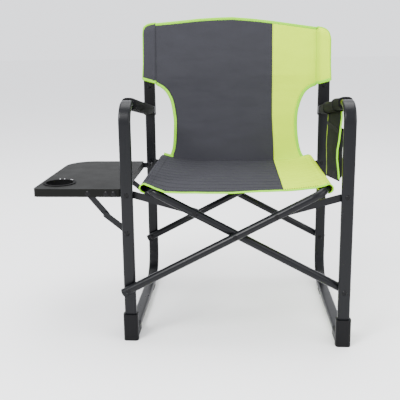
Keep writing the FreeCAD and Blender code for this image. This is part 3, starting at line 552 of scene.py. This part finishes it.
# The edges of the cut-outs beside the back's waist, from the seat up to the sleeves.
left_edge = resample([
    (-224, 0, 421), (-217, 0, 432), (-211, 0, 446), (-206, 0, 466), (-203.5, 0, 500), (-202.5, 0, 540),
    (-205, 0, 566), (-211, 0, 602), (-218, 0, 623), (-228, 0, 641), (-242, 0, 655), (-262, 0, 667)], 62)
right_edge = resample([
    (230, 0, 421), (219, 0, 434), (212.5, 0, 446), (206.5, 0, 466), (201.5, 0, 500), (199.5, 0, 540),
    (202, 0, 575), (208, 0, 600), (214.5, 0, 619), (225, 0, 638), (240, 0, 652), (262, 0, 662)], 62)


JOIN_ROWS = 8         # rows that ease from the seat's rear edge into the waist


def back_rows(half, count):
    """Rows of one half of the back's cloth, grey or lime, up to the colour seam."""
    rows = []
    for number, (start, end) in enumerate(zip(left_edge, right_edge)):
        seam_x = seam_at((start.z + end.z) / 2)
        ends = (start.x, seam_x) if half == "grey" else (seam_x, end.x)
        row = []
        for x in (float(x) for x in np.linspace(*ends, count)):
            share = (x - start.x) / (end.x - start.x)
            z = start.z + (end.z - start.z) * share
            if number < JOIN_ROWS:
                join_z = RAIL_Z + RAIL_TOP - seat_drop(x, 450) - 2.5
                z = join_z + (z - join_z) * number / JOIN_ROWS
            row.append(Vector((x, back_depth(x, z), z)))
        rows.append(row)
    low = rows[-1]
    for t in np.linspace(0, 1, 44)[1:]:
        row = []
        for p in low:
            z = p.z + (back_top(p.x) - p.z) * float(t)
            row.append(Vector((p.x, back_depth(p.x, z), z)))
        rows.append(row)
    return rows


def seam_at(z):
    """Where the colour seam crosses the back: it drifts towards the right rail near the seat."""
    return float(np.interp(z, [430, 480, 560], [125.0, 123.5, 119.3]))


back_grey = grid("back_cloth_grey", back_rows("grey", 72), grey, "left_frame")
back_lime = grid("back_cloth_lime", back_rows("lime", 30), lime, "left_frame")
for piece, slot in ((back_grey, "grey_fabric"), (back_lime, "lime_fabric")):
    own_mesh(piece)
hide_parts("back_sling", "back_waist")

cuts = (("left", left_edge, 1, thread, "grey_fabric"), ("right", right_edge, -1, lime_thread, "lime_fabric"))
for name, edge, inward, look, slot in cuts:
    path = [Vector((p.x, back_depth(p.x, p.z), p.z)) for p in edge]
    bound_line(f"back_binding_cut_{name}", path, (0, -1, 0.1), "left_frame", BACK_SQUASH, shift=3.4 * inward)
    inner = [Vector((p.x, p.y - 1.2, p.z)) for p in path]
    sides, _ = frame_along(inner, [(0, -1, 0)] * len(inner))
    line = [p + s * 11.0 * inward for p, s in zip(inner, sides)]
    sew(f"back_cut_stitches_{name}", line[4:], (0, -1, 0), look, "left_frame", BACK_SQUASH)

top = []
for x in np.linspace(-INNER, INNER, 110):
    z = back_top(x) - 3.5
    top.append(Vector((x, back_depth(x, z), z)))
bound_line("back_binding_top", top, (0, -1, 0), "left_frame", BACK_SQUASH, wide=4.6)
seam = [Vector((seam_at(z) + 3, back_depth(seam_at(z), z) - 1.1, z)) for z in np.linspace(432, 858, 130)]
sew("back_seam_stitches", seam, (0, -1, 0), lime_thread, "left_frame", BACK_SQUASH)


def post_sleeve(name, sign, foot, look, body):
    """The closed sleeve that slips over a back post, flat where it is sewn to the back."""
    step_y = STEP if sign < 0 else -STEP
    loop = []
    for angle in np.linspace(0, 360, 41)[:-1]:
        turn = math.radians(angle)
        c, s = math.cos(turn), math.sin(turn)
        x = bulge(c, 0.55) * (19.8 if c > 0 else 23.5)
        y = bulge(s, 0.6) * 12.8
        pinch = max(0.0, (-x - 14) / 9.5)
        loop.append((x, y * (1 - 0.8 * pinch * pinch), pinch))
    rows = []
    for t in np.linspace(0, 1, 46):
        row = []
        for x, y, pinch in loop:
            taper = 1 - 0.13 * min(1.0, float(t) * 3) if x > 0 else 1.0
            across = sign * (LEG + x * taper)
            height = foot + (back_top(across) - foot) * float(t)
            height += 0.27 * (1 - t) * x    # the foot slopes towards the back's middle
            close = 1 - max(0.0, (float(t) - 0.86) / 0.14) ** 3 * 0.86
            middle = DEPTH + max(0.0, height - LEAN_Z) * LEAN + step_y * (1 - pinch)
            row.append(Vector((across, middle + y * close + 0.5 * ripple(across, y, height), height)))
        rows.append(row)
    piece = grid(name, rows, look, body, 1.4, close=True)
    hem = [row + Vector((0, 0, 3.0)) for row in rows[0]]
    centre = Vector((sign * LEG, DEPTH + step_y, hem[0].z))
    out = [Vector((p.x - centre.x, (p.y - centre.y) * 1.8, 0)).normalized() for p in hem]
    sides, clean = frame_along(hem, out, close=True)
    made = sweep(f"{name}_hem", hem, sides, clean, 5.0, 1.7, binding, body, close=True)
    column = [row[0] for row in rows]
    outer = [p + Vector((sign * 0.6, 0, 0)) for p in column]
    crest = rows[-1][:21]
    ridge = [Vector((p.x, DEPTH + (p.z - LEAN_Z) * LEAN + step_y * 0.6, p.z)) for p in crest]
    path = outer[:-3] + ridge[2:]
    path = resample([path[i] for i in range(0, len(path), 3)] + [path[-1]], 70)
    bound_line(f"{name}_piping", path, (0, -1, 0), body, wide=3.8, thick=4.2)


post_sleeve("back_sleeve_left", -1, 677.0, grey, "left_frame")
post_sleeve("back_sleeve_right", 1, 671.5, lime, "right_frame")


# ------------------------------------------------------------------ arm pads

SLOPE = math.radians(8)
ARM_Z = 649.6         # the arm's middle line above the front leg
PAD_START, PAD_LONG = 66.0, 388.0


def arm_pad(side, sign, step_y):
    """A foam sleeve with soft ends, a little pressed in where hands rest."""
    verts = []
    rings = 64
    points = 36
    for r in range(rings):
        t = r / (rings - 1)
        along = PAD_LONG * t
        end = min(along, PAD_LONG - along)
        round_end = 1 - 0.3 * max(0.0, 1 - end / 9.0) ** 2.2
        for c in range(points):
            turn = 2 * math.pi * c / points
            cx, cz = math.cos(turn), math.sin(turn)
            wide = bulge(cx, 0.72) * 19.7 * round_end
            tall = bulge(cz, 0.72) * 16.2 * round_end
            if cz > 0:
                tall -= 0.8 * math.exp(-((t - 0.35) / 0.2) ** 2)
            soft = 0.5 * ripple(wide * 3, along, tall * 3)
            wide += soft * cx
            tall += soft * cz
            y = along * math.cos(SLOPE) + tall * math.sin(SLOPE) + PAD_START
            z = ARM_Z - PAD_START * math.tan(SLOPE) - along * math.sin(SLOPE) + tall * math.cos(SLOPE)
            verts.append(Vector((sign * LEG + wide, y + step_y, z)))
    faces = []
    for r in range(rings - 1):
        for c in range(points):
            d = (c + 1) % points
            faces.append((r * points + c, r * points + d, (r + 1) * points + d, (r + 1) * points + c))
    faces.append(tuple(range(points)))
    faces.append(tuple((rings - 1) * points + c for c in range(points)))
    piece = make_piece(f"{side}_pad", verts, faces, foam, f"{side}_frame")
    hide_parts(f"{side}_arm_pad")


arm_pad("left", -1, STEP)
arm_pad("right", 1, -STEP)


# ------------------------------------------------------------------ side pouch

POUCH_X = 285.0
POUCH_START, POUCH_LONG = 141.0, 225.0
POUCH_END = POUCH_START + POUCH_LONG
POUCH_FOOT, POUCH_MOUTH = 417.0, 552.0
PAD_UNDER = 16.6      # the pouch hangs from the pad's underside


def pouch_ridge(y):
    return ARM_Z - PAD_UNDER - (y + STEP) * math.tan(SLOPE)


def pouch_foot(y):
    return POUCH_FOOT - 30.0 * (y - POUCH_START) / POUCH_LONG


def pouch_sway(y, z):
    """The panel hangs in a slow curve, pulled in halfway down, more so at its front edge."""
    front = max(0.0, 1 - (y - POUCH_START) / 150)
    curve = float(np.interp(z, [417, 447, 479, 503, 528, 570, 592, 640],
                            [1.0, -2.2, -6.4, -6.2, -2.4, 1.2, 3.6, 0.0]))
    return curve * (0.35 + 0.65 * front)


rows = []
for t in np.linspace(0, 1, 40):
    row = []
    for u in np.linspace(0, 1, 46):
        y = POUCH_START + POUCH_LONG * float(u)
        z = pouch_foot(y) + (pouch_ridge(y) - pouch_foot(y)) * float(t)
        row.append(Vector((POUCH_X + pouch_sway(y, z) + 0.4 * ripple(y, 5, z), y, z)))
    rows.append(row)
panel = grid("pouch_panel", rows, black_weave, "right_frame", 1.8)
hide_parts("side_pouch")


def pocket_point(u, v):
    """The pouch's outer wall, fuller at the bottom, its edges sewn to the panel."""
    y = POUCH_START + 4 + (POUCH_LONG - 8) * u
    z = pouch_foot(y) + 1.5 + (POUCH_MOUTH - pouch_foot(y)) * v
    across = max(0.0, 1 - abs(2 * u - 1) ** 12)
    full = (1 - max(0.0, 1 - v / 0.22) ** 2.4) * (1 - 0.2 * v)
    x = POUCH_X + pouch_sway(y, z) + 1.6 + 19.0 * across ** 0.5 * full + 0.7 * ripple(y, 9, z)
    return Vector((x, y, z))


rows = [[pocket_point(float(u), float(v)) for u in np.linspace(0, 1, 54)] for v in np.linspace(0, 1, 36)]
pocket = grid("pouch_pocket", rows, black_weave, "right_frame", 1.6)
hem = [pocket_point(float(u), 0.975) + Vector((0.5, 0, 0)) for u in np.linspace(0, 1, 54)]
bound_line("pouch_hem", hem, (1, 0, 0), "right_frame", None, 6.0, 1.5, webbing)
line = [p + Vector((1.2, 0, -9)) for p in hem[3:-3]]
sew("pouch_stitches", line, (1, 0, 0), thread, "right_frame")
for name, y, look in (("front", POUCH_START + 1, binding), ("rear", POUCH_END - 1, lime_thread)):
    heights = np.linspace(pouch_foot(y) + 4, pouch_ridge(y) - 2, 40)
    edge = [Vector((POUCH_X + pouch_sway(y, z) + 1.0, y, z)) for z in heights]
    bound_line(f"pouch_piping_{name}", edge, (1, 0, 0), "right_frame", None, 3.0, 2.4, look)
base = [Vector((POUCH_X + pouch_sway(y, POUCH_FOOT) + 1.0, y, pouch_foot(y) + 1))
        for y in np.linspace(POUCH_START + 3, POUCH_END - 3, 40)]
bound_line("pouch_piping_base", base, (1, 0, 0), "right_frame", None, 3.0, 2.4, webbing)
band = [Vector((POUCH_X + pouch_sway(y, POUCH_MOUTH) - 1.2, y, POUCH_MOUTH))
        for y in np.linspace(POUCH_START + 4, POUCH_END - 4, 50)]
bound_line("pouch_band", band, (-1, 0, 0), "right_frame", None, 6.5, 1.0, webbing)
for number, y in enumerate((POUCH_START + 26, POUCH_END - 26)):
    centre = Vector((LEG, y, ARM_Z - (y + STEP) * math.tan(SLOPE)))
    loop = []
    out = []
    for angle in np.linspace(0, 360, 41)[:-1]:
        turn = math.radians(angle)
        c, s = math.cos(turn), math.sin(turn)
        wide = bulge(c, 0.72) * 20.6
        tall = bulge(s, 0.72) * 17.2
        loop.append(centre + Vector((wide, tall * math.sin(SLOPE), tall * math.cos(SLOPE))))
        out.append(Vector((c, 0, s)))
    sides, clean = frame_along(loop, out, close=True)
    strap = sweep(f"pouch_strap_{number}", loop, sides, clean, 12.0, 0.8, webbing, "right_frame",
                  close=True, points=8)


# ------------------------------------------------------------------ cup ring pins

RING_X, RING_Y, RING_TOP = -488.0, 98.0, 421.0
RIM = 41.0            # from the hole's centre to the middle of the ring's rim
pins = bmesh.new()
for degrees in (104.0, 86.0):
    turn = math.radians(degrees)
    spot = place(RING_X + RIM * math.cos(turn), RING_Y + RIM * math.sin(turn), RING_TOP + 0.6)
    bmesh.ops.create_uvsphere(pins, u_segments=16, v_segments=10, radius=0.0019,
                              matrix=Matrix.Translation(spot))
turn = math.radians(52.0)
clip = place(RING_X + RIM * math.cos(turn), RING_Y + RIM * math.sin(turn), RING_TOP + 0.8)
lay = Matrix.Translation(clip) @ Matrix.Rotation(turn, 4, "Z") @ Matrix.Diagonal((0.0016, 0.006, 0.0012, 1))
bmesh.ops.create_icosphere(pins, subdivisions=3, radius=1.0, matrix=lay)
mesh = bpy.data.meshes.new("cup_ring_pins")
pins.to_mesh(mesh)
pins.free()
mesh.materials.append(pin_steel)
for face in mesh.polygons:
    face.use_smooth = True
piece = bpy.data.objects.new("cup_ring_pins", mesh)
bpy.context.scene.collection.objects.link(piece)
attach(piece, "table")


# ------------------------------------------------------------------ floor and light

bpy.ops.mesh.primitive_plane_add(size=60, location=(0, 20, -0.0005))
floor = bpy.context.object
floor.name = "floor"
floor.data.materials.append(ground)


def lamp(name, where, target, size, power):
    """A soft square lamp that faces its target."""
    data = bpy.data.lights.new(name, "AREA")
    data.size = size
    data.energy = power
    item = bpy.data.objects.new(name, data)
    bpy.context.scene.collection.objects.link(item)
    item.location = where
    item.rotation_euler = (Vector(target) - Vector(where)).to_track_quat("-Z", "Y").to_euler()


lamp("key", (-1.8, -2.6, 2.8), (0, 0, 0.5), 1.4, 190)
lamp("fill", (2.6, -1.8, 1.8), (0, 0, 0.5), 2.2, 60)
lamp("top", (0.2, 0.6, 3.4), (0, 0, 0.4), 2.4, 110)
world = bpy.data.worlds.new("studio")
world.use_nodes = True
world.node_tree.nodes["Background"].inputs["Color"].default_value = (0.95, 0.96, 1.0, 1)
world.node_tree.nodes["Background"].inputs["Strength"].default_value = 1.9
bpy.context.scene.world = world
